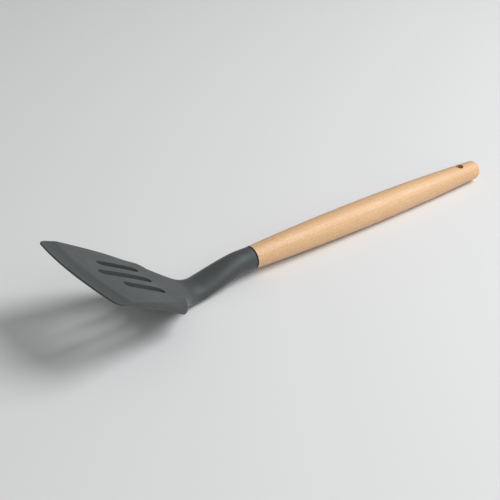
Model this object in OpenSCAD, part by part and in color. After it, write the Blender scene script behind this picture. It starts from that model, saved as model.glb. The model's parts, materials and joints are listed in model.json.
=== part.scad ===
// Slotted turner: a silicone-covered nylon head on a turned beech handle.
// The parts are drawn with the handle's axis on X, the seam at x = 0 and the
// blade towards -X, and are then laid on the table in their resting pose.

/* [Handle] */
// length of the wood, seam to butt
handle_len = 210; // [190:1:230]
// widest diameter of the barrel-shaped grip
grip_d = 19.2; // [18:0.2:22]
// diameter at the seam, shared by the wood and the silicone collar
seam_d = 15.2; // [14:0.2:16.4]
// distance from the seam to the widest place
grip_at = 94; // [80:1:105]
// length over which the butt is rounded
butt_round = 5; // [3:0.5:8]
// squareness of the rounded butt, 2 is an ellipse
butt_share = 2.8; // [2:0.1:4]
// diameter of the hole to hang it by
hang_d = 5.6; // [4.5:0.1:6.5]
// distance from the butt to the middle of that hole
hang_inset = 17.6; // [14:0.2:24]

/* [Neck] */
// straight collar behind the seam
collar_len = 8.4; // [5:0.2:14]
// radius of the soft bend where the collar turns down
collar_bend_r = 28; // [18:1:40]
// how far the neck turns down from the handle's axis, degrees
neck_angle = 8.3; // [6:0.1:10]
// straight length of the neck
neck_len = 27.8; // [22:0.2:34]
// width of the neck where the collar ends
neck_w = 18.2; // [16:0.2:20]
// width of the neck where the shoulders start
neck_end_w = 21; // [18:0.2:24]
// thickness of the neck where the collar ends
neck_t = 14.8; // [13:0.2:17]
// thickness of the neck where the shoulders start
neck_end_t = 12; // [10:0.2:14]
// length over which the round collar becomes the oval neck
collar_blend = 14; // [8:1:20]

/* [Blade] */
// radius of the bend that turns the neck up into the blade
heel_r = 30; // [24:1:38]
// angle of the blade to the handle's axis just after the bend, degrees
blade_angle = 37.2; // [32:0.1:42]
// how much the blade flattens again up to its front edge, degrees
curve_angle = 7.6; // [4:0.1:10]
// length of the blade beyond the bend
blade_len = 82.8; // [76:0.2:92]
// greatest width of the blade, near its front
blade_w = 85.8; // [78:0.2:92]
// angle by which each side edge spreads, degrees
flare_angle = 11.4; // [9:0.1:14]
// rounding of the two front corners
front_r = 7; // [5:0.2:8]
// rounding of the two heel corners
corner_r = 5; // [3:0.5:8]
// radius of the hollow shoulders between neck and heel corners
shoulder_r = 36; // [30:1:42]
// distance of the heel corners' centres beyond the bend
corner_at = 15.8; // [12:0.2:20]
// how far the front edge bulges in the middle
front_bow = 5.6; // [3:0.1:7]
// thickness of the blade at its heel
heel_t = 6.8; // [6:0.1:7.6]
// thickness of the blade where the bevel starts
bevel_t = 3.2; // [2.8:0.1:4]
// thickness of the front edge
edge_t = 1; // [0.8:0.1:1.6]
// length of the bevel
bevel_len = 9; // [8:0.2:12]
// squareness of the blade's section, 2 is an ellipse
blade_share = 24; // [16:1:30]

/* [Slots] */
// share of the blade's width, at the heel ends of the slots, that the slots and their bars take up
field_share = 0.545; // [0.5:0.005:0.6]
// share of that field that each slot takes up
slot_share = 0.195; // [0.17:0.001:0.22]
// distance from the bend to the heel ends of all the slots
slot_heel_gap = 22.2; // [20:0.1:26]
// distance from the front edge to the front end of the middle slot
slot_front_gap = 20.4; // [17:0.1:23]
// how much further back the two outer slots end
slot_step = 8.9; // [6:0.1:12]

/* [Core] */
// depth of the ribbed peg in the wood
peg_len = 42; // [30:1:55]
// diameter of the peg over its ribs
peg_d = 8.8; // [7.6:0.2:10]
// depth of the grooves between the ribs
groove_depth = 0.5; // [0.3:0.1:0.8]
// number of ribs on the peg
rib_count = 6; // [4:1:8]
// diameter of the flange against the end of the wood
flange_d = 11.2; // [10:0.2:12]
// thickness of that flange
flange_t = 1.6; // [1.2:0.1:2.4]
// width of the core inside the neck
core_neck_w = 9; // [8:0.2:10]
// thickness of the core inside the neck
core_neck_t = 8; // [7:0.2:9]
// thickness of the core panel inside the blade
panel_t = 1.5; // [1.2:0.1:1.7]
// silicone left beside the panel at the blade's sides
panel_side = 7; // [5:0.5:9]
// silicone left in front of the panel, beside the bulge
panel_front = 7.6; // [6:0.2:9]
// silicone lining inside each slot
slot_lining = 1.6; // [1.2:0.1:2]
// free space at the bottom of the peg's bore
bore_end_gap = 1.5; // [1:0.1:3]

/* [Hidden] */
// overrun of every cut
cut = 1;
// segments around a section of the head
ring_count = 48;
// segments along the grip's outline
grip_steps = 30;
// segments around the butt
butt_steps = 10;
// segments of a turned form
turned_steps = 96;
// segments of a bore, a peg or a slot's end
round_steps = 48;
// squareness of an ellipse
ellipse = 2;
// angle of the drill point at the bottom of the bore
drill_angle = 118;
// share of each rib's length that is groove
groove_share = 0.4;

seam_r = seam_d / 2;
grip_r = grip_d / 2;
barrel_sag = grip_r - seam_r;
barrel_r = (grip_at * grip_at + barrel_sag * barrel_sag) / (2 * barrel_sag);

// places along the underside of the head, measured from the seam
bend_a = collar_len;
bend_b = bend_a + collar_bend_r * neck_angle * PI / 180;
bend_c = bend_b + neck_len;
bend_d = bend_c + heel_r * (neck_angle + blade_angle) * PI / 180;
head_len = bend_d + blade_len;

// each stretch of the underside: length, angle at its start, angle it turns
stretches = [
    [bend_a, 0, 0],
    [bend_b - bend_a, 0, -neck_angle],
    [neck_len, -neck_angle, 0],
    [bend_d - bend_c, -neck_angle, neck_angle + blade_angle],
    [blade_len, blade_angle, -curve_angle]
];

// the straight line across a stretch of an arc, as [x, z]
function chord(length, start, turn) =
    let (half = turn / 2)
    let (share = abs(half) < 0.001 ? 1 : sin(half) / (half * PI / 180))
    length * share * [-cos(start + half), sin(start + half)];

// the underside at a distance s from the seam, as [x, z]
function under(s, i = 0) =
    let (part = stretches[i])
    s <= part[0] || i == len(stretches) - 1
        ? chord(s, part[1], part[2] * s / part[0])
        : chord(part[0], part[1], part[2]) + under(s - part[0], i + 1);

// the angle of the underside at s
function slope(s, i = 0) =
    let (part = stretches[i])
    s <= part[0] || i == len(stretches) - 1
        ? part[1] + part[2] * s / part[0]
        : slope(s - part[0], i + 1);

// a point raised from the underside, square to it, as [x, z]
function raised(s, height) =
    [0, -seam_r] + under(s) + height * [sin(slope(s)), cos(slope(s))];

// 0 before a, 1 after b, smooth in between
function ease(s, a, b) =
    let (t = min(max((s - a) / (b - a), 0), 1))
    t * t * (3 - 2 * t);

function mix(from, to, share) = from + (to - from) * share;

// places on the outline of the head seen from above
edge_s = head_len - front_bow;
front_s = edge_s - front_r;
front_u = blade_w / 2 - front_r;
flare_s = front_s - front_r * sin(flare_angle);
flare_u = front_u + front_r * cos(flare_angle);
corner_s = bend_d + corner_at;
corner_u = side_u(corner_s) - corner_r / cos(flare_angle);
side_s = corner_s - corner_r * sin(flare_angle);
bevel_s = edge_s - bevel_len;
neck_end_u = neck_end_w / 2;
shoulder_u = neck_end_u + shoulder_r;
shoulder_reach = sqrt(pow(shoulder_r + corner_r, 2) - pow(shoulder_u - corner_u, 2));
shoulder_s = corner_s - shoulder_reach;
meet_s = shoulder_s + shoulder_reach * shoulder_r / (shoulder_r + corner_r);

// half the width between the straight side edges
function side_u(s) = flare_u - (flare_s - s) * tan(flare_angle);

// half the width of the oval neck
function neck_u(s) =
    s < shoulder_s
        ? mix(
            mix(seam_r, neck_w / 2, ease(s, 0, bend_b + collar_blend)),
            neck_end_u,
            ease(s, bend_b, shoulder_s)
        )
        : neck_end_u;

// half the width of the head
function half_width(s) =
    s < shoulder_s ? neck_u(s)
    : s < meet_s ? shoulder_u - sqrt(pow(shoulder_r, 2) - pow(s - shoulder_s, 2))
    : s < side_s ? corner_u + sqrt(pow(corner_r, 2) - pow(s - corner_s, 2))
    : s < flare_s ? side_u(s)
    : front_u + sqrt(max(pow(front_r, 2) - pow(s - front_s, 2), 0));

// thickness of the head
function neck_thick(s) =
    mix(
        mix(seam_d, neck_t, ease(s, 0, bend_b + collar_blend)),
        neck_end_t,
        ease(s, bend_b, shoulder_s)
    );
function blade_thick(s) = mix(heel_t, bevel_t, (s - corner_s) / (bevel_s - corner_s));
function thick(s) =
    s > bevel_s
        ? mix(edge_t, bevel_t, (edge_s - s) / bevel_len)
        : mix(neck_thick(s), blade_thick(max(s, bend_c)), ease(s, bend_c, corner_s));

// squareness of the head's section: an ellipse in the neck, a slab in the blade
function squareness(s) = mix(ellipse, blade_share, ease(s, bend_b + collar_blend, corner_s));

// how far the bulge of the front edge pushes a point of the blade forward
function bulge(s, across) =
    front_bow * max(1 - (pow(edge_s - s, 2) + across * across) / pow(blade_w / 2, 2), 0);

// one point of the section at s, as [x, y, z]
function ring_point(s, turn) =
    let (across = half_width(s) * cos(turn))
    let (rise = sqrt(1 - pow(abs(cos(turn)), squareness(s))))
    let (height = thick(s) / 2 * (1 + (sin(turn) < 0 ? -rise : rise)))
    let (p = raised(s + bulge(s, across), height))
    [p[0], across, p[1]];

// stretch from a to b in the given number of steps, without the point at b
function steps(a, b, count) = [for (i = [0:count - 1]) a + (b - a) * i / count];

// stretch where the outline turns through an arc that ends at a right angle
function arc_steps(a, b, count) = [for (i = [1:count]) a + (b - a) * sin(90 * i / count)];

// segments along each stretch of the loft, from the collar to the front edge
collar_steps = 3;
blend_steps = 7;
neck_steps = 7;
shoulder_steps = 12;
corner_steps = 6;
side_steps = 11;
front_steps = 10;
lead_s = min(bevel_s, flare_s);

stations = concat(
    steps(0, bend_a, collar_steps),
    steps(bend_a, bend_b + collar_blend, blend_steps),
    steps(bend_b + collar_blend, shoulder_s, neck_steps),
    steps(shoulder_s, meet_s, shoulder_steps),
    steps(meet_s, side_s, corner_steps),
    steps(side_s, lead_s, side_steps),
    [lead_s],
    arc_steps(lead_s, edge_s, front_steps)
);

// the outer form of the head: one loft through all the stations
module head_form() {
    rings = len(stations);
    n = ring_count;
    points = [for (s = stations) for (j = [0:n - 1]) ring_point(s, 360 * j / n)];
    sides = [
        for (i = [0:rings - 2])
            for (j = [0:n - 1])
                let (a = i * n + j)
                let (b = i * n + (j + 1) % n)
                for (face = [[a, b, a + n], [b, b + n, a + n]])
                    face
    ];
    seam_cap = [[for (j = [0:n - 1]) n - 1 - j]];
    last = (rings - 1) * n;
    half = n / 2;
    front_cap = [
        for (j = [0:half - 1])
            let (a = last + j)
            let (b = last + (n - j) % n)
            for (face = [[a, a + 1, b], [a + 1, last + n - j - 1, b]])
                if (face[0] != face[2] && face[1] != face[0] && face[1] != face[2])
                    face
    ];
    polyhedron(points = points, faces = concat(seam_cap, sides, front_cap), convexity = 6);
}

// the slots share the middle of the blade: three slots and the two bars between them
slot_end_s = bend_d + slot_heel_gap;
slot_field = field_share * 2 * side_u(slot_end_s);
slot_w = slot_share * slot_field;
slot_pitch = (slot_field - slot_w) / 2;
slot_mid_len = head_len - slot_front_gap - slot_end_s;
slot_side_len = slot_mid_len - slot_step;

// one slot's cutter, round at both ends and square to the blade
module slot_cutter(middle_u, length, lining = 0) {
    middle_s = slot_end_s + length / 2;
    place = raised(middle_s, 0);
    r = slot_w / 2 + lining;
    reach = (length - slot_w) / 2;
    translate([place[0], middle_u, place[1]])
        rotate([0, slope(middle_s), 0])
            translate([0, 0, -cut])
                linear_extrude(height = heel_t + 2 * cut) {
                    translate([-reach, 0]) circle(r = r, $fn = round_steps);
                    translate([reach, 0]) circle(r = r, $fn = round_steps);
                    translate([-reach, -r]) square([2 * reach, 2 * r]);
                }
}

module slot_cutters(lining = 0) {
    slot_cutter(0, slot_mid_len, lining);
    for (side = [-1, 1])
        slot_cutter(side * slot_pitch, slot_side_len, lining);
}

// radius of the grip at a distance x from the seam
function grip_radius(x) = sqrt(pow(barrel_r, 2) - pow(x - grip_at, 2)) - barrel_r + grip_r;

// lays a shape turned about Z along the handle's axis
module along_axis() {
    rotate([0, 90, 0])
        children();
}

module beech_handle() {
    straight_len = handle_len - butt_round;
    butt_r = grip_radius(straight_len);
    side = [for (x = steps(0, straight_len, grip_steps)) [grip_radius(x), x]];
    butt = [
        for (i = [0:butt_steps])
            let (turn = 90 * i / butt_steps)
            [
                butt_r * pow(cos(turn), ellipse / butt_share),
                straight_len + butt_round * pow(sin(turn), ellipse / butt_share)
            ]
    ];
    bore_len = peg_len + bore_end_gap;
    color([0.86, 0.68, 0.48])
        difference() {
            along_axis()
                rotate_extrude($fn = turned_steps)
                    polygon(concat([[0, 0]], side, butt));
            along_axis()
                translate([0, 0, -cut])
                    cylinder(h = bore_len + cut, d = peg_d, $fn = round_steps);
            along_axis()
                translate([0, 0, bore_len])
                    cylinder(h = peg_d / 2 / tan(drill_angle / 2), d1 = peg_d, d2 = 0, $fn = round_steps);
            translate([handle_len - hang_inset, 0, -grip_r - cut])
                cylinder(h = grip_d + 2 * cut, d = hang_d, $fn = round_steps);
        }
}

// half the width of the core panel at s: the head's outline drawn in by its silicone edge
core_front = edge_s - panel_front;
core_flare = core_front - front_r;
core_stretch = (edge_s - corner_s) / (core_front - corner_s);
function core_u(s) =
    let (outline_s = s < corner_s ? s : corner_s + (s - corner_s) * core_stretch)
    max(core_neck_w / 2, half_width(outline_s) - panel_side);

// half the thickness of the core at s
function core_v(s) = mix(core_neck_t, panel_t, ease(s, bend_b, corner_s)) / 2;

core_stations = concat(
    steps(0, shoulder_s, shoulder_steps),
    steps(shoulder_s, corner_s, shoulder_steps),
    steps(corner_s, core_flare, corner_steps),
    [core_flare],
    arc_steps(core_flare, core_front, front_steps)
);

// the ribbed peg that holds the head in the wood
module peg() {
    pitch = peg_len / rib_count;
    rib_r = peg_d / 2;
    groove_r = rib_r - groove_depth;
    outline = [
        for (i = [0:rib_count - 1])
            for (p = [
                [groove_r, i * pitch],
                [groove_r, (i + groove_share) * pitch],
                [rib_r, (i + groove_share) * pitch],
                [rib_r, (i + 1) * pitch]
            ])
                p
    ];
    along_axis()
        rotate_extrude($fn = round_steps)
            polygon(concat([[0, -flange_t]], [[groove_r, -flange_t]], outline, [[0, peg_len]]));
}

// the stiff insert: a panel with windows in the blade, a bar in the neck and the peg
module nylon_core() {
    last = len(core_stations) - 1;
    upper = [for (s = core_stations) raised(s, thick(s) / 2 + core_v(s))];
    lower = [for (i = [0:last]) let (s = core_stations[last - i]) raised(s, thick(s) / 2 - core_v(s))];
    one_side = [for (s = core_stations) [raised(s, thick(s) / 2)[0], core_u(s)]];
    other_side = [for (i = [0:last]) [one_side[last - i][0], -one_side[last - i][1]]];
    color([0.9, 0.89, 0.85]) {
        difference() {
            intersection() {
                translate([0, blade_w / 2, 0])
                    rotate([90, 0, 0])
                        linear_extrude(height = blade_w)
                            polygon(concat(upper, lower));
                translate([0, 0, -head_len])
                    linear_extrude(height = 2 * head_len)
                        polygon(concat(one_side, other_side));
            }
            slot_cutters(slot_lining);
        }
        along_axis()
            translate([0, 0, -flange_t])
                cylinder(h = flange_t, d = flange_d, $fn = round_steps);
        peg();
    }
}

// the one-piece silicone cover of blade, neck and collar
module silicone_skin() {
    color([0.36, 0.39, 0.41])
        difference() {
            head_form();
            nylon_core();
            slot_cutters();
        }
}

// the table touches the bend below the neck and the barrel of the grip:
// it is the line that lies below both of these arcs
bend_middle = raised(bend_c, heel_r);
barrel_middle = [grip_at, barrel_r - grip_r];
apart = barrel_middle - bend_middle;
rest_tilt = atan2(apart[1], apart[0]) + asin((heel_r - barrel_r) / norm(apart));
rest_lift = bend_middle * [sin(rest_tilt), -cos(rest_tilt)] + heel_r;
front_x = raised(head_len, 0) * [cos(rest_tilt), sin(rest_tilt)];
butt_x = handle_len * cos(rest_tilt);

module rest() {
    translate([-(front_x + butt_x) / 2, 0, rest_lift])
        rotate([0, rest_tilt, 0])
            children();
}

rest() beech_handle();
rest() nylon_core();
rest() silicone_skin();
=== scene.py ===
import json
import math
from collections import namedtuple

import bmesh
import bpy
from mathutils import Matrix, Vector


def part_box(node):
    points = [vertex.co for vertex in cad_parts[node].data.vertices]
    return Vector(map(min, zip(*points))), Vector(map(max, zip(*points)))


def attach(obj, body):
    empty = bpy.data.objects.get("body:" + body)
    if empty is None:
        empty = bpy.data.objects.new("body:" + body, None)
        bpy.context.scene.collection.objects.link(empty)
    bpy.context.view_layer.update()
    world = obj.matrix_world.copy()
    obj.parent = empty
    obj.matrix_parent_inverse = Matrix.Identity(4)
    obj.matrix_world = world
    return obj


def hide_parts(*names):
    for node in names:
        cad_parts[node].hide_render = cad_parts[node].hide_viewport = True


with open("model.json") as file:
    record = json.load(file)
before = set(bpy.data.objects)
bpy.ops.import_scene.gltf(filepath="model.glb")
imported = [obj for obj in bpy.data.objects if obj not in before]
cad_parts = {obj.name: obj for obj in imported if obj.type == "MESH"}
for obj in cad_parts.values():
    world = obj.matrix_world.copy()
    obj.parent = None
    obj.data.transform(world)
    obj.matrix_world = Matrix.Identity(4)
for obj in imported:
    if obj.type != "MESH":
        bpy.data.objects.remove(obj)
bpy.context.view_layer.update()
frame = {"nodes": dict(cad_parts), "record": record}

# Sizes, in metres. The handle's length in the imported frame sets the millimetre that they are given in.
# In names, r is a radius, t a thickness, u half a width and s a distance from the seam along the head.
HANDLE_MM = 210
SEAM_MM = 7.6
wood_low, wood_high = (Vector(corner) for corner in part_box("beech_handle"))
skin_low, skin_high = (Vector(corner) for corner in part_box("silicone_skin"))

# The hang hole tells how the handle's axis lies over the table.
hang = frame["record"]["mounts"][0]
hang_axis = Vector(hang["axis"])
tilt = math.atan2(hang_axis.x, hang_axis.z)
axis = Vector((math.cos(tilt), 0, -math.sin(tilt)))
mm = (wood_high.x - wood_low.x) / (HANDLE_MM * math.cos(tilt) + SEAM_MM * math.sin(tilt))
hang_inset = 17.6 * mm
handle_len = HANDLE_MM * mm
seam = Vector(hang["pos_m"]) - axis * (handle_len - hang_inset)
# The wood's box ends at the rim of the seam, which stands square to the tilted axis.
seam.x = wood_low.x + SEAM_MM * mm * math.sin(tilt)

# Handle
grip_r = (wood_high.y - wood_low.y) / 2
seam_r = SEAM_MM * mm
grip_at = 94 * mm
butt_round = 5 * mm
butt_flat_share = 1 / 16
hang_r = hang["dims"]["r_mm"] / 1000
seam_ease = 0.42 * mm
seam_depth = 1.4 * mm
# A painted shade line at the seam, partly glue: its width and how soft its edges are.
glue_and_shade_line = 0.75 * mm
glue_and_shade_blur = 0.4
hole_ease = 0.3 * mm
hole_flare = 1.3
handle_crease = math.radians(34)
barrel_sag = grip_r - seam_r
barrel_r = (grip_at ** 2 + barrel_sag ** 2) / (2 * barrel_sag)

# A square of 2 rounds the butt like a quarter of an ellipse, and a larger one leaves it squarer.
butt_square = 2.8
butt_power = 2 / butt_square

# Neck
collar_len = 8.4 * mm
collar_bend_r = 28 * mm
neck_angle = math.radians(8.3)
neck_len = 27.8 * mm
neck_u = 9.1 * mm
neck_end_u = 10.5 * mm
neck_t = 14.8 * mm
neck_end_t = 12 * mm
collar_blend = 14 * mm

# Blade
heel_r = 30 * mm
blade_angle = math.radians(37.2)
curve_angle = math.radians(7.6)
blade_len = 82.8 * mm
blade_u = (skin_high.y - skin_low.y) / 2
flare = math.radians(11.4)
front_r = 4.4 * mm
corner_r = 6.2 * mm
shoulder_r = 36 * mm
corner_at = 17 * mm
front_bow = 5.6 * mm
heel_t = 6.8 * mm
heel_blend = 9 * mm
bevel_t = 3.2 * mm
edge_t = 1 * mm
bevel_len = 10.4 * mm
bevel_hollow = 1.6
front_turn = math.radians(66)
head_crease = math.radians(38)

# The front edge is half round. Its rings stand back from its tip by these shares of its thickness,
# and the last ring keeps the least share of the thickness.
edge_ring_shares = (0.5, 0.3, 0.15, 0.06, 0.02, 0.0)
edge_least_share = 0.1

# The head's rounded corners are shares of its thickness, and get wider where the outline leans across.
lean_step = 0.05 * mm
rim_max_lean = 3
rim_low_share = 0.42
rim_top_share = 0.24
rim_heel_low_share = 0.2
rim_heel_width_share = 0.7
rim_heel_height_share = 0.78
rim_heel_len = 22 * mm

# Slots
slot_w = 7.1 * mm
slot_pitch = 14.6 * mm
slot_heel_gap = 22.2 * mm
slot_front_gap = 20.4 * mm
slot_step = 8.9 * mm
slot_ease = 0.2 * mm
slot_flare = 1.4
cutter_half = 1 * mm

# How finely the round shapes are divided, and when two places or two directions count as the same
HEAD_POINTS = 48
HANDLE_POINTS = 96
BORE_POINTS = 64
BARREL_STEPS = 64
BUTT_STEPS = 16
SEAM_STEPS = 4
EASE_STEPS = 5
BOW_STRIPS = 16
SLOT_STRIPS = 12
TINY = 1e-3 * mm
TINY_TURN = 1e-6

# An eased rim is a quarter round, and past this angle its cutter opens out of the surface.
rim_open = math.radians(80)

# Places along the underside of the head, measured from the seam
bend_a = collar_len
bend_b = bend_a + collar_bend_r * neck_angle
bend_c = bend_b + neck_len
bend_d = bend_c + heel_r * (neck_angle + blade_angle)
head_len = bend_d + blade_len
edge_s = head_len - front_bow
bevel_s = edge_s - bevel_len
corner_s = bend_d + corner_at
front_s = edge_s - front_r
front_u = blade_u - front_r
flare_s = front_s - front_r * math.sin(flare)
flare_u = front_u + front_r * math.cos(flare)


def side_u(s):
    """Half the width of the blade along its straight side."""
    return flare_u - (flare_s - s) * math.tan(flare)


corner_u = side_u(corner_s) - corner_r / math.cos(flare)
shoulder_u = neck_end_u + shoulder_r
shoulder_reach = math.sqrt((shoulder_r + corner_r) ** 2 - (shoulder_u - corner_u) ** 2)
shoulder_s = corner_s - shoulder_reach
meet_s = shoulder_s + shoulder_reach * shoulder_r / (shoulder_r + corner_r)
side_s = corner_s - corner_r * math.sin(flare)
slot_end_s = bend_d + slot_heel_gap


def ease(s, a, b):
    """Goes smoothly from 0 at a to 1 at b."""
    t = min(max((s - a) / (b - a), 0), 1)
    return t * t * (3 - 2 * t)


def mix(a, b, share):
    """Goes evenly from a at share 0 to b at share 1."""
    return a + (b - a) * share


def half_width(s):
    """Half the width of the head, seen from above."""
    if s < shoulder_s:
        neck = mix(seam_r, neck_u, ease(s, 0, bend_b + collar_blend))
        return mix(neck, neck_end_u, ease(s, bend_b, shoulder_s))
    if s < meet_s:
        return shoulder_u - math.sqrt(shoulder_r ** 2 - (s - shoulder_s) ** 2)
    if s < side_s:
        return corner_u + math.sqrt(corner_r ** 2 - (s - corner_s) ** 2)
    if s < flare_s:
        return side_u(s)
    return front_u + math.sqrt(max(front_r ** 2 - (s - front_s) ** 2, 0))


def slab_thickness(s):
    """Thickness of the blade, without its bevel."""
    return mix(heel_t, bevel_t, (max(s, bend_c) - corner_s) / (bevel_s - corner_s))


def thickness(s):
    """Thickness of the head, with its front edge rounded over."""
    if s > bevel_s:
        left = edge_s - s
        bevel = mix(edge_t, bevel_t, max(left / bevel_len, 0) ** bevel_hollow)
        nose = max(1 - left / (edge_t / 2), 0)
        return bevel * math.sqrt(max(1 - nose ** 2, edge_least_share ** 2))
    neck = mix(seam_r * 2, neck_t, ease(s, 0, bend_b + collar_blend))
    neck = mix(neck, neck_end_t, ease(s, bend_b, shoulder_s))
    return mix(neck, slab_thickness(s), ease(s, bend_c, corner_s + heel_blend))


def outline_lean(s):
    """How steeply the outline leaves or nears the middle line, as sideways over lengthways."""
    if s > edge_s - lean_step:
        return rim_max_lean
    change = abs(half_width(s + lean_step) - half_width(s - lean_step))
    return min(change / (2 * lean_step), rim_max_lean)


# A ring of the head has half a width, a thickness, and the rounding of its bottom and of its top corners.
Ring = namedtuple("Ring", "wide thick rims")
Rim = namedtuple("Rim", "wide high")


def section(s):
    """The size of the head's ring at s."""
    wide, thick = half_width(s), thickness(s)
    slab = ease(s, bend_b + collar_blend, corner_s)
    blade = ease(s, corner_s, corner_s + rim_heel_len)
    low_share = mix(rim_heel_low_share, rim_low_share, blade)
    top_width_share = mix(rim_heel_width_share, rim_top_share, blade)
    top_height_share = mix(rim_heel_height_share, rim_top_share, blade)
    rims = []
    for width_share, height_share in ((low_share, low_share), (top_width_share, top_height_share)):
        rim_wide = min(width_share * thick * math.sqrt(1 + outline_lean(s) ** 2), wide)
        rims.append(Rim(mix(wide, rim_wide, slab), mix(0.5, height_share, slab) * thick))
    return Ring(wide, thick, rims)


def bulge(s, across):
    """How far the bulge of the front edge pushes a point of the blade forward."""
    return front_bow * max(1 - ((edge_s - s) ** 2 + across ** 2) / blade_u ** 2, 0)


def slope(s):
    """Angle of the underside to the handle's axis."""
    if s < bend_a:
        return 0
    if s < bend_b:
        return -neck_angle * (s - bend_a) / (bend_b - bend_a)
    if s < bend_c:
        return -neck_angle
    if s < bend_d:
        return -neck_angle + (neck_angle + blade_angle) * (s - bend_c) / (bend_d - bend_c)
    return blade_angle - curve_angle * (s - bend_d) / blade_len


def even(a, b, count):
    """Places from a up to b, without b."""
    return [mix(a, b, i / count) for i in range(count)]


def around(centre, radius, a, b, count):
    """Places at even steps round an arc between two angles, without the last."""
    return [centre + radius * math.sin(turn) for turn in even(a, b, count)]


def eased_turns():
    """The angles round an eased rim at which its cutter has a ring."""
    return even(0, math.pi / 2, EASE_STEPS)[1:] + [rim_open]


# Working by hand in edit mode
def select_only(piece):
    """Selects a piece and makes it the active one, with nothing else selected."""
    bpy.ops.object.select_all(action="DESELECT")
    piece.select_set(True)
    bpy.context.view_layer.objects.active = piece


def edit(piece):
    """Opens a piece for editing by its points."""
    select_only(piece)
    bpy.ops.object.mode_set(mode="EDIT")
    bpy.ops.mesh.select_mode(type="VERT")


def done():
    """Closes the piece that was open for editing."""
    bpy.ops.object.mode_set(mode="OBJECT")
    return bpy.context.object


def edited_mesh():
    return bmesh.from_edit_mesh(bpy.context.edit_object.data)


def pick(test):
    """Selects the points that pass the test."""
    mesh = edited_mesh()
    for vert in mesh.verts:
        vert.select_set(test(vert.co))
    mesh.select_flush_mode()


def extrude(step):
    bpy.ops.mesh.extrude_region_move(TRANSFORM_OT_translate={"value": step})


def grow(value, centre):
    bpy.ops.transform.resize(value=value, center_override=centre)


def turn_up(angle, centre):
    """Turns what is selected about the Y axis. Without a window the operator counts the other way."""
    bpy.ops.transform.rotate(value=-angle, orient_axis="Y", center_override=centre)


def circle(name, radius, count, at):
    """An open ring square to the X axis, with no point on its top or bottom line."""
    bpy.ops.object.select_all(action="DESELECT")
    bpy.ops.mesh.primitive_circle_add(
        vertices=count, radius=radius, fill_type="NOTHING",
        location=(at, 0, 0), rotation=(0, math.pi / 2, 0),
    )
    piece = bpy.context.object
    piece.name = name
    piece.data.name = name
    bpy.ops.object.transform_apply(location=True, rotation=True, scale=True)
    piece.data.transform(Matrix.Rotation(math.pi / count, 4, "X"))
    return piece


def cap(test):
    """Closes the ring of points that pass the test."""
    pick(test)
    bpy.ops.mesh.edge_face_add()


def face_outwards():
    """Merges doubled points and turns every face outwards."""
    bpy.ops.mesh.select_all(action="SELECT")
    bpy.ops.mesh.remove_doubles(threshold=TINY)
    bpy.ops.mesh.normals_make_consistent(inside=False)


def start_cutter(radius, depth, at):
    """An upright cylinder, open for editing."""
    bpy.ops.object.select_all(action="DESELECT")
    bpy.ops.mesh.primitive_cylinder_add(vertices=BORE_POINTS, radius=radius, depth=depth, location=at)
    bpy.ops.object.transform_apply(location=True)
    edit(bpy.context.object)


def cut_out(piece, cutter):
    """Takes the cutter's shape out of the piece, and removes the cutter."""
    select_only(piece)
    tool = piece.modifiers.new("cut", "BOOLEAN")
    tool.operation = "DIFFERENCE"
    tool.solver = "EXACT"
    tool.object = cutter
    bpy.ops.object.modifier_apply(modifier=tool.name)
    bpy.data.objects.remove(cutter)


def smooth(piece, angle):
    """Smooth shading that keeps the flats flat and breaks at sharp edges."""
    select_only(piece)
    bpy.ops.object.shade_smooth_by_angle(angle=angle)
    weight = piece.modifiers.new("even_normals", "WEIGHTED_NORMAL")
    weight.keep_sharp = True
    bpy.ops.object.modifier_apply(modifier=weight.name)


def lay_down(piece, drop=0.0):
    """Moves a piece drawn along the X axis to the place where the handle lies."""
    lowered = Matrix.Translation((0, 0, drop))
    tilted = Matrix.Rotation(tilt, 4, "Y")
    piece.data.transform(Matrix.Translation(seam) @ tilted @ lowered)


# The handle
def grip_radius(x):
    """The barrel's radius at a distance x from the seam."""
    return math.sqrt(barrel_r ** 2 - (x - grip_at) ** 2) - barrel_r + grip_r


def turned_profile():
    """The turned outline from the seam to the butt, as places and radii."""
    straight = handle_len - butt_round
    butt_r = grip_radius(straight)
    outline = [seam_round(t) for t in even(0, math.pi / 2, SEAM_STEPS)]
    outline += [(x, grip_radius(x)) for x in even(seam_ease, straight, BARREL_STEPS)]
    for t in even(0, math.pi / 2, BUTT_STEPS):
        along = butt_round * math.sin(t) ** butt_power
        outline.append((straight + along, butt_r * math.cos(t) ** butt_power))
    return outline + [(handle_len, butt_r * butt_flat_share)]


def seam_round(t):
    """A point of the small round beside the seam, as its distance from the seam and its radius."""
    return seam_ease * (1 - math.cos(t)), seam_r - seam_depth * (1 - math.sin(t))


def make_handle():
    """The wooden handle, drawn out ring by ring from the seam to the butt, and drilled."""
    outline = turned_profile()
    (x, r), rest = outline[0], outline[1:]
    handle = circle("turned_beech_handle", r, HANDLE_POINTS, x)
    edit(handle)
    bpy.ops.mesh.select_all(action="SELECT")
    for next_x, next_r in rest:
        extrude((next_x - x, 0, 0))
        grow((1, next_r / r, next_r / r), (next_x, 0, 0))
        x, r = next_x, next_r
    cap(lambda co: co.x > handle_len - TINY)
    cap(lambda co: co.x < TINY)
    face_outwards()
    handle = done()
    cut_out(handle, make_drill())
    lay_down(handle)
    smooth(handle, handle_crease)
    return handle


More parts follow.
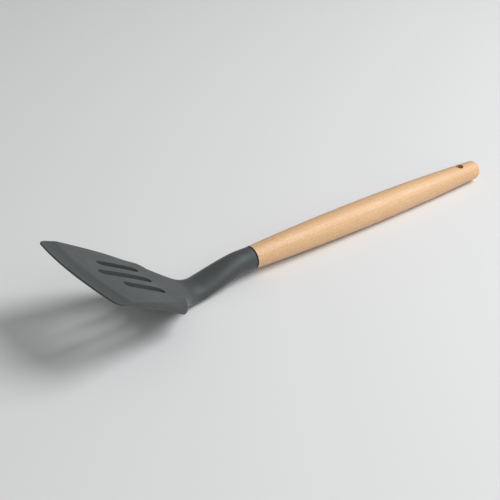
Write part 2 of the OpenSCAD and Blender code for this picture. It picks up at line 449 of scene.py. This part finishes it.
def make_drill():
    """The drill for the hang hole, widened where it leaves the wood, to ease the rim."""
    x = handle_len - hang_inset
    wood_r = grip_radius(x)
    start_cutter(hang_r, 2 * (wood_r - hole_ease), at=(x, 0, 0))
    for side in (1, -1):
        pick(lambda co: co.z * side > 0)
        wide, high = hang_r, 0.0
        for t in eased_turns():
            next_wide = hang_r + hole_ease * (1 - math.cos(t))
            next_high = hole_ease * math.sin(t)
            extrude((0, 0, side * (next_high - high)))
            grow((next_wide / wide, next_wide / wide, 1), (x, 0, 0))
            wide, high = next_wide, next_high
        extrude((0, 0, side * hang_r))
        grow((hole_flare, hole_flare, 1), (x, 0, 0))
    for vert in edited_mesh().verts:
        fall = wood_r - math.sqrt(max(wood_r ** 2 - vert.co.y ** 2, 0))
        vert.co.z -= math.copysign(fall, vert.co.z)
    return done()


# The head
def head_places():
    """Where the head's rings lie, closer together where it bends or its outline turns."""
    corner_a = math.asin((meet_s - corner_s) / corner_r)
    corner_b = math.asin((side_s - corner_s) / corner_r)
    shoulder_b = math.asin((meet_s - shoulder_s) / shoulder_r)
    straight_end = bend_b + collar_blend
    places = even(seam_ease, bend_a, count=5)
    places += even(bend_a, bend_b, count=4)
    places += even(bend_b, straight_end, count=7)
    places += even(straight_end, shoulder_s, count=10)
    places += around(shoulder_s, shoulder_r, 0, shoulder_b, count=24)
    places += around(corner_s, corner_r, corner_a, corner_b, count=9)
    places += even(side_s, bevel_s, count=24)
    places += even(bevel_s, flare_s, count=6)
    places += around(front_s, front_r, -flare, front_turn, count=14)
    places += [edge_s - share * edge_t for share in edge_ring_shares]
    return places


def next_ring(s, old, new):
    """Draws the ring out to s and gives each quarter of it its new size and place."""
    extrude((-s - ring_at(), 0, 0))
    parting = ring_parting(old)
    for top in (False, True):
        for side in (1, -1):
            pick(lambda co: abs(co.x + s) < TINY and co.y * side > 0 and (co.z > parting) == top)
            was, now = old.rims[top], new.rims[top]
            centre = rim_centre(s, old, side, top)
            grow((1, now.wide / was.wide, now.high / was.high), centre)
            bpy.ops.transform.translate(value=rim_centre(s, new, side, top) - centre)
    pick(lambda co: abs(co.x + s) < TINY)


def ring_parting(ring):
    """The height between a ring's rounded bottom corners and its rounded top corners."""
    low, top = ring.rims
    return (low.high + ring.thick - top.high) / 2


def rim_centre(s, ring, side, top):
    """The middle of one rounded corner of a ring."""
    rim = ring.rims[top]
    return Vector((-s, side * (ring.wide - rim.wide), ring.thick - rim.high if top else rim.high))


def ring_at():
    """Where along the X axis the selected ring lies."""
    return next(vert.co.x for vert in edited_mesh().verts if vert.select)


def ring_radius():
    """The radius of the selected ring, while it is still round."""
    return max(vert.co.y for vert in edited_mesh().verts if vert.select) / math.cos(math.pi / HEAD_POINTS)


def make_head():
    """The silicone head, drawn out straight from the seam to the front edge, cut, and then bent."""
    places = head_places()
    head = circle("moulded_silicone_head", seam_r - seam_depth, HEAD_POINTS, 0)
    edit(head)
    bpy.ops.mesh.select_all(action="SELECT")
    bpy.ops.transform.translate(value=(0, 0, seam_r))
    for t in even(0, math.pi / 2, SEAM_STEPS)[1:] + [math.pi / 2]:
        x, r = seam_round(t)
        extrude((-x - ring_at(), 0, 0))
        ratio = r / ring_radius()
        grow((1, ratio, ratio), (-x, 0, seam_r))
    ring = Ring(seam_r, seam_r * 2, [Rim(seam_r, seam_r)] * 2)
    for s in places[1:]:
        next_ring(s, ring, section(s))
        ring = section(s)
    cap(lambda co: co.x < -edge_s + TINY)
    cap(lambda co: co.x > -TINY)
    bow_front()
    face_outwards()
    head = done()
    for middle, length in slot_places():
        cut_out(head, make_slot_cutter(middle, length))
    bow_places = [(edge_s + head_len) / 2, head_len]
    bend_head(head, places + bow_places)
    lay_down(head, -seam_r)
    smooth(head, head_crease)
    return head


def bow_front():
    """Cuts the front of the blade into strips and pushes it out in an arc, with its top kept flat."""
    reach = front_u - front_r
    for i in range(BOW_STRIPS + 1):
        pick(lambda co: co.x < -bevel_s + slot_front_gap)
        bpy.ops.mesh.bisect(plane_co=(0, mix(-reach, reach, i / BOW_STRIPS), 0), plane_no=(0, 1, 0))
    for vert in edited_mesh().verts:
        s = -vert.co.x
        push = bulge(s, vert.co.y)
        if push > 0:
            thinner = slab_thickness(s + push) / slab_thickness(s)
            vert.co.z *= mix(1, thinner, min((edge_s - s) / bevel_len, 1))
            vert.co.x -= push


def slot_places():
    """Each slot's middle line and its length."""
    length = head_len - slot_front_gap - slot_end_s
    return [(0, length)] + [(side * slot_pitch, length - slot_step) for side in (-1, 1)]


def make_slot_cutter(middle, length):
    """A bar with round ends that follows both faces of the blade and eases the slot's rims."""
    r = slot_w / 2
    reach = length / 2 - r
    centre_s = slot_end_s + length / 2
    centre = (-centre_s, middle, 0)
    start_cutter(r, 2 * cutter_half, at=centre)
    bpy.ops.transform.rotate(value=math.pi / BORE_POINTS, orient_axis="Z", center_override=centre)
    for side in (1, -1):
        pick(lambda co: (co.x + centre_s) * side > 0)
        bpy.ops.transform.translate(value=(side * reach, 0, 0))
    for side in (1, -1):
        pick(lambda co: co.z * side > 0)
        wide, high = 0.0, 0.0
        for t in eased_turns():
            next_wide = slot_ease * (1 - math.cos(t))
            next_high = slot_ease * math.sin(t)
            extrude((0, 0, side * (next_high - high)))
            widen(centre_s, middle, reach, (r + next_wide) / (r + wide))
            wide, high = next_wide, next_high
        extrude((0, 0, side * cutter_half))
        widen(centre_s, middle, reach, slot_flare)
    bpy.ops.mesh.select_all(action="SELECT")
    for i in range(1, SLOT_STRIPS):
        x = -centre_s + mix(-reach, reach, i / SLOT_STRIPS)
        bpy.ops.mesh.bisect(plane_co=(x, 0, 0), plane_no=(1, 0, 0))
        bpy.ops.mesh.select_all(action="SELECT")
    for vert in edited_mesh().verts:
        if vert.co.z > 0:
            vert.co.z += thickness(-vert.co.x) - cutter_half - slot_ease
        else:
            vert.co.z += cutter_half + slot_ease
    face_outwards()
    return done()


def widen(centre_s, middle, reach, ratio):
    """Grows the selected rim of a slot by the same amount all round."""
    for vert in edited_mesh().verts:
        if vert.select:
            end = -centre_s + math.copysign(reach, vert.co.x + centre_s)
            vert.co.x = end + (vert.co.x - end) * ratio
            vert.co.y = middle + (vert.co.y - middle) * ratio


def bend_head(head, places):
    """Bends the straight head ring by ring, from the front edge back to the collar."""
    edit(head)
    middles = [(a + b) / 2 for a, b in zip(places, places[1:])]
    for s, before, after in reversed(list(zip(places[1:], middles, middles[1:]))):
        half_turn = (slope(after) - slope(before)) / 2
        if abs(half_turn) < TINY_TURN:
            continue
        for reach in (-TINY, TINY):
            pick(lambda co: co.x < -s + reach)
            turn_up(half_turn, (-s, 0, 0))
    done()


# Materials
def new_material(name):
    material = bpy.data.materials.new(name)
    material.use_nodes = True
    tree = material.node_tree
    return material, tree, tree.nodes["Principled BSDF"]


def add(tree, kind, inputs=None, **settings):
    """A node with its settings, and its inputs linked to sockets or set to values."""
    node = tree.nodes.new("ShaderNode" + kind)
    for name, value in settings.items():
        setattr(node, name, value)
    for name, value in (inputs or {}).items():
        if isinstance(value, bpy.types.NodeSocket):
            tree.links.new(value, node.inputs[name])
        else:
            node.inputs[name].default_value = value
    return node


def place(tree):
    return add(tree, "TexCoord").outputs["Object"]


def stretched(tree, vector, scale, turn=(0, 0, 0)):
    """The place, scaled so that a pattern of size 1 is drawn out along one direction."""
    return add(tree, "Mapping", {"Vector": vector, "Scale": scale, "Rotation": turn}).outputs["Vector"]


def noise(tree, vector, scale=1.0, detail=2.0, rough=0.5):
    node = add(tree, "TexNoise", {"Vector": vector, "Scale": scale, "Detail": detail, "Roughness": rough})
    return node.outputs["Fac"]


def cells(tree, vector, scale=1.0):
    """The distance from the middle of the nearest cell."""
    return add(tree, "TexVoronoi", {"Vector": vector, "Scale": scale}).outputs["Distance"]


def maths(tree, operation, a, b=0.0):
    return add(tree, "Math", {0: a, 1: b}, operation=operation).outputs[0]


def vector_maths(tree, operation, a, b=(0, 0, 0)):
    return add(tree, "VectorMath", {0: a, 1: tuple(b)}, operation=operation).outputs


def rescale(tree, value, low, high, to_low=0.0, to_high=1.0):
    """Maps low to to_low and high to to_high, with a soft start and end."""
    return add(tree, "MapRange", {
        "Value": value, "From Min": low, "From Max": high, "To Min": to_low, "To Max": to_high,
    }, interpolation_type="SMOOTHSTEP").outputs["Result"]


def blend(tree, share, a, b):
    """Mixes two colours, given as sockets or as red, green and blue.

    A Mix node has its share at input 0, its colours at inputs 6 and 7 and their mixture at output 2.
    """
    node = add(tree, "Mix", data_type="RGBA")
    for socket, value in ((node.inputs[0], share), (node.inputs[6], a), (node.inputs[7], b)):
        if isinstance(value, bpy.types.NodeSocket):
            tree.links.new(value, socket)
        else:
            socket.default_value = value if isinstance(value, float) else (*value, 1)
    return node.outputs[2]


def bump(tree, height, strength, distance):
    node = add(tree, "Bump", {"Height": height, "Strength": strength, "Distance": distance})
    return node.outputs["Normal"]


def new_group(name, inputs, outputs):
    """A node group, with the sockets that its inputs give and its outputs take."""
    group = bpy.data.node_groups.new(name, "ShaderNodeTree")
    for socket in inputs:
        kind = "NodeSocketVector" if socket == "Vector" else "NodeSocketFloat"
        group.interface.new_socket(socket, in_out="INPUT", socket_type=kind)
    for socket in outputs:
        group.interface.new_socket(socket, in_out="OUTPUT", socket_type="NodeSocketFloat")
    return group, group.nodes.new("NodeGroupInput").outputs, group.nodes.new("NodeGroupOutput").inputs


def make_dust_group():
    """Sparse pale specks of dust and lint, used by every finish."""
    group, enter, leave = new_group("fine_dust", ("Vector", "Amount"), ("Mask",))
    speck = rescale(group, cells(group, enter["Vector"], scale=420.0), low=0.16, high=0.08)
    rare = rescale(group, noise(group, enter["Vector"], scale=230.0), low=0.6, high=0.72)
    speck = maths(group, "MULTIPLY", speck, rare)
    group.links.new(maths(group, "MULTIPLY", speck, enter["Amount"]), leave["Mask"])
    return group


def make_patina_group():
    """Slow changes of tone and gloss over a handled surface, used by every finish."""
    group, enter, leave = new_group("handling_patina", ("Vector", "Scale"), ("Tone", "Smudge"))
    slow = noise(group, enter["Vector"], scale=enter["Scale"], detail=3.0, rough=0.55)
    finer = maths(group, "MULTIPLY", enter["Scale"], 2.6)
    smudge = add(group, "TexNoise", {
        "Vector": enter["Vector"], "Scale": finer, "Detail": 4.0, "Roughness": 0.6, "Distortion": 0.6,
    })
    group.links.new(rescale(group, slow, low=0.3, high=0.7), leave["Tone"])
    group.links.new(rescale(group, smudge.outputs["Fac"], low=0.35, high=0.68), leave["Smudge"])
    return group


def use_group(tree, group, inputs):
    """Places a node group in a tree, and gives its outputs."""
    return add(tree, "Group", inputs, node_tree=group).outputs


dust_group = make_dust_group()
patina_group = make_patina_group()


def satin_silicone():
    """Dark grey moulded silicone: matte, very finely textured, a little dust."""
    dark_grey = (0.046, 0.055, 0.058)
    light_grey = (0.055, 0.065, 0.068)
    grain_grey = (0.066, 0.073, 0.076)
    dust_grey = (0.34, 0.35, 0.35)

    material, tree, shader = new_material("satin_grey_silicone")
    at = place(tree)
    patina = use_group(tree, patina_group, {"Vector": at, "Scale": 24.0})
    dust = use_group(tree, dust_group, {"Vector": at, "Amount": 0.5})
    grain = noise(tree, at, scale=2600.0, rough=0.6)
    colour = blend(tree, patina["Tone"], dark_grey, light_grey)
    colour = blend(tree, rescale(tree, grain, low=0.3, high=0.7, to_high=0.35), colour, grain_grey)
    colour = blend(tree, dust["Mask"], colour, dust_grey)
    tree.links.new(colour, shader.inputs["Base Color"])
    roughness = rescale(tree, patina["Smudge"], 0, 1, to_low=0.54, to_high=0.62)
    tree.links.new(roughness, shader.inputs["Roughness"])
    shader.inputs["IOR"].default_value = 1.43
    shader.inputs["Sheen Weight"].default_value = 0.22
    shader.inputs["Sheen Roughness"].default_value = 0.38
    waves = noise(tree, at, scale=55.0, detail=1.0)
    height = maths(tree, "ADD", maths(tree, "MULTIPLY", grain, 0.12), waves)
    tree.links.new(bump(tree, height, strength=0.25, distance=0.1 * mm), shader.inputs["Normal"])
    return material


def beech():
    """Oiled beech: faint growth rings, streaks, dark and pale flecks and fine pores along the handle."""
    dark_wood = (0.670, 0.405, 0.194)
    light_wood = (0.715, 0.450, 0.230)
    streak_brown = (0.670, 0.370, 0.170)
    late_brown = (0.600, 0.320, 0.142)
    fleck_brown = (0.430, 0.200, 0.080)
    ray_cream = (0.800, 0.620, 0.420)
    pore_brown = (0.500, 0.270, 0.130)
    dust_cream = (0.86, 0.83, 0.78)
    end_grain_and_shade_brown = (0.20, 0.105, 0.05)
    glue_and_shade_black = (0.020, 0.009, 0.006)

    material, tree, shader = new_material("oiled_beech")
    at = place(tree)
    patina = use_group(tree, patina_group, {"Vector": at, "Scale": 16.0})
    dust = use_group(tree, dust_group, {"Vector": at, "Amount": 0.25})
    glue_and_shade = at_seam(tree, at)
    streak = noise(tree, stretched(tree, at, scale=(45, 420, 420)), detail=3.0, rough=0.6)
    fleck = short_flecks(tree, at)
    ray = ray_flecks(tree, at)
    pore = fine_pores(tree, at)

    colour = blend(tree, patina["Tone"], dark_wood, light_wood)
    colour = blend(tree, rescale(tree, streak, low=0.35, high=0.65, to_high=0.35), colour, streak_brown)
    for mask, strength, tint in (
        (growth_rings(tree, at), 0.30, late_brown),
        (fleck, 0.72, fleck_brown),
        (ray, 0.45, ray_cream),
        (pore, 0.22, pore_brown),
        (dust["Mask"], 1.0, dust_cream),
        # Painted shade: the hang hole's wall is darkened, partly as its bare end grain.
        (inside_bore(tree, at), 0.3, end_grain_and_shade_brown),
        # Painted shade: a near-black line in the seam groove, partly glue, kept matte and without coat.
        (glue_and_shade, 1.0, glue_and_shade_black),
    ):
        colour = blend(tree, maths(tree, "MULTIPLY", mask, strength), colour, tint)
    tree.links.new(colour, shader.inputs["Base Color"])

    satin = rescale(tree, patina["Smudge"], 0, 1, to_low=0.50, to_high=0.60)
    tree.links.new(maths(tree, "MAXIMUM", satin, glue_and_shade), shader.inputs["Roughness"])
    shader.inputs["IOR"].default_value = 1.47
    tree.links.new(rescale(tree, glue_and_shade, 0, 1, to_low=0.95, to_high=0.0), shader.inputs["Coat Weight"])
    shader.inputs["Coat Roughness"].default_value = 0.6
    height = maths(tree, "MULTIPLY", pore, -0.6)
    for mask, rise in ((streak, 0.5), (fleck, -0.4), (ray, 0.5)):
        height = maths(tree, "ADD", height, maths(tree, "MULTIPLY", mask, rise))
    tree.links.new(bump(tree, height, strength=0.4, distance=0.1 * mm), shader.inputs["Normal"])
    return material


def growth_rings(tree, at):
    """A mask of the darker late wood, in rings round a pith that lies beside the handle."""
    pith_y = -38 * mm
    pith_z = -52 * mm
    ring_width = 2.3 * mm
    rings_wandered = 3.0

    apart = add(tree, "SeparateXYZ", {0: at}).outputs
    off_y = maths(tree, "SUBTRACT", apart["Y"], pith_y)
    off_z = maths(tree, "SUBTRACT", apart["Z"], pith_z)
    square_y = maths(tree, "MULTIPLY", off_y, off_y)
    square_z = maths(tree, "MULTIPLY", off_z, off_z)
    from_pith = maths(tree, "SQRT", maths(tree, "ADD", square_y, square_z))
    wander = noise(tree, stretched(tree, at, scale=(7, 30, 30)))
    wander = maths(tree, "MULTIPLY", wander, rings_wandered)
    rings = maths(tree, "ADD", maths(tree, "DIVIDE", from_pith, ring_width), wander)
    return rescale(tree, maths(tree, "PINGPONG", rings, 0.5), low=0.28, high=0.5)


def short_flecks(tree, at):
    """A mask of beech's short dark flecks, which come in patches."""
    fleck = cells(tree, stretched(tree, at, scale=(330, 1500, 1500)))
    fleck = rescale(tree, fleck, low=0.34, high=0.12)
    patchy = noise(tree, stretched(tree, at, scale=(40, 160, 160)))
    patchy = rescale(tree, patchy, low=0.4, high=0.62)
    return maths(tree, "MULTIPLY", fleck, patchy)


def ray_flecks(tree, at):
    """A mask of the pale shiny flecks where the wood's rays are cut."""
    ray = cells(tree, stretched(tree, at, scale=(420, 1250, 1250), turn=(0.4, 0, 0)))
    return rescale(tree, ray, low=0.40, high=0.15)


def fine_pores(tree, at):
    """A mask of the pores, drawn out along the handle."""
    pore = noise(tree, stretched(tree, at, scale=(420, 5200, 5200)), rough=0.7)
    return rescale(tree, pore, low=0.55, high=0.7)


def at_seam(tree, at):
    """A mask of the thin dark line where the wood meets the silicone: painted shade of the seam groove,
    partly glue.
    """
    from_seam = vector_maths(tree, "SUBTRACT", at, seam)[0]
    along = vector_maths(tree, "DOT_PRODUCT", from_seam, axis)["Value"]
    return rescale(tree, along, low=glue_and_shade_line * (1 + glue_and_shade_blur), high=glue_and_shade_line * (1 - glue_and_shade_blur))


def inside_bore(tree, at):
    """A mask of the hang hole's wall, darkened as bare end grain and as painted shade in the hole."""
    from_hole = vector_maths(tree, "SUBTRACT", at, hang["pos_m"])[0]
    across = vector_maths(tree, "CROSS_PRODUCT", from_hole, hang_axis)[0]
    away = vector_maths(tree, "LENGTH", across)["Value"]
    return rescale(tree, away, low=hang_r + hole_ease, high=hang_r)


def moulded_nylon():
    """The unpainted nylon core inside the silicone."""
    dark_nylon = (0.66, 0.65, 0.60)
    light_nylon = (0.72, 0.71, 0.66)

    material, tree, shader = new_material("natural_nylon")
    at = place(tree)
    patina = use_group(tree, patina_group, {"Vector": at, "Scale": 30.0})
    tree.links.new(blend(tree, patina["Tone"], dark_nylon, light_nylon), shader.inputs["Base Color"])
    roughness = rescale(tree, patina["Smudge"], 0, 1, to_low=0.42, to_high=0.55)
    tree.links.new(roughness, shader.inputs["Roughness"])
    grain = noise(tree, at, scale=1800.0)
    tree.links.new(bump(tree, grain, strength=0.15, distance=0.05 * mm), shader.inputs["Normal"])
    return material


def pale_table():
    """The plain pale table top."""
    dark_white = (0.735, 0.74, 0.745)
    light_white = (0.755, 0.76, 0.765)

    material, tree, shader = new_material("pale_table")
    tone = noise(tree, place(tree), scale=3.0)
    tree.links.new(blend(tree, tone, dark_white, light_white), shader.inputs["Base Color"])
    shader.inputs["Roughness"].default_value = 0.8
    shader.inputs["Specular IOR Level"].default_value = 0.25
    return material


def give(piece, material):
    piece.data.materials.clear()
    piece.data.materials.append(material)


# The pieces
handle = make_handle()
give(handle, beech())
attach(handle, "root")
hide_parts("beech_handle")

head = make_head()
give(head, satin_silicone())
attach(head, "root")
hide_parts("silicone_skin")

core = frame["nodes"]["nylon_core"]
give(core, moulded_nylon())


# The stage: table, light and camera. The camera's values come from fitting the outlines in the photograph.
table_size = 8
lens_mm = 84.53
camera_azimuth = -128.34
camera_elevation = 31.372
camera_away = 780 * mm
camera_target = Vector((-22.32, 22.61, 0)) * mm


def make_table():
    bpy.ops.object.select_all(action="DESELECT")
    bpy.ops.mesh.primitive_plane_add(size=table_size, location=(0, 0, 0))
    table = bpy.context.object
    table.name = "table_top"
    give(table, pale_table())


def direction(azimuth, elevation):
    """Unit vector towards a place in the sky, azimuth counted from the X axis."""
    a, e = math.radians(azimuth), math.radians(elevation)
    return Vector((math.cos(e) * math.cos(a), math.cos(e) * math.sin(a), math.sin(e)))


def add_lamp(name, azimuth, elevation, away, size, watts):
    """A round soft lamp that shines on the middle of the table."""
    light = bpy.data.lights.new(name, "AREA")
    light.shape = "DISK"
    light.size = size
    light.energy = watts
    lamp = bpy.data.objects.new(name, light)
    towards = direction(azimuth, elevation)
    lamp.location = towards * away
    lamp.rotation_mode = "QUATERNION"
    lamp.rotation_quaternion = towards.to_track_quat("Z", "Y")
    bpy.context.scene.collection.objects.link(lamp)


def add_world(horizon, overhead, full_at):
    """Soft light from all round, weaker near the horizon than overhead, and full from some height on."""
    world = bpy.data.worlds.new("studio")
    world.use_nodes = True
    tree = world.node_tree
    towards = add(tree, "TexCoord").outputs["Generated"]
    height = add(tree, "SeparateXYZ", {0: towards}).outputs["Z"]
    backdrop = tree.nodes["Background"]
    backdrop.inputs["Color"].default_value = (1, 1, 1, 1)
    strength = rescale(tree, height, 0, full_at, to_low=horizon, to_high=overhead)
    tree.links.new(strength, backdrop.inputs["Strength"])
    bpy.context.scene.world = world


def add_camera():
    """The photograph's viewpoint."""
    data = bpy.data.cameras.new("camera")
    data.lens = lens_mm
    camera = bpy.data.objects.new("camera", data)
    back = direction(camera_azimuth, camera_elevation)
    camera.location = camera_target + back * camera_away
    camera.rotation_mode = "QUATERNION"
    camera.rotation_quaternion = back.to_track_quat("Z", "Y")
    bpy.context.scene.collection.objects.link(camera)
    bpy.context.scene.camera = camera


make_table()
add_lamp("key_softbox", azimuth=-35, elevation=48, away=1.6, size=1.1, watts=23.4)
add_lamp("fill_card", azimuth=-105, elevation=32, away=2.2, size=2.0, watts=10)
add_world(horizon=0.13, overhead=0.28, full_at=0.6)
add_camera()
bpy.context.scene.view_settings.view_transform = "Standard"
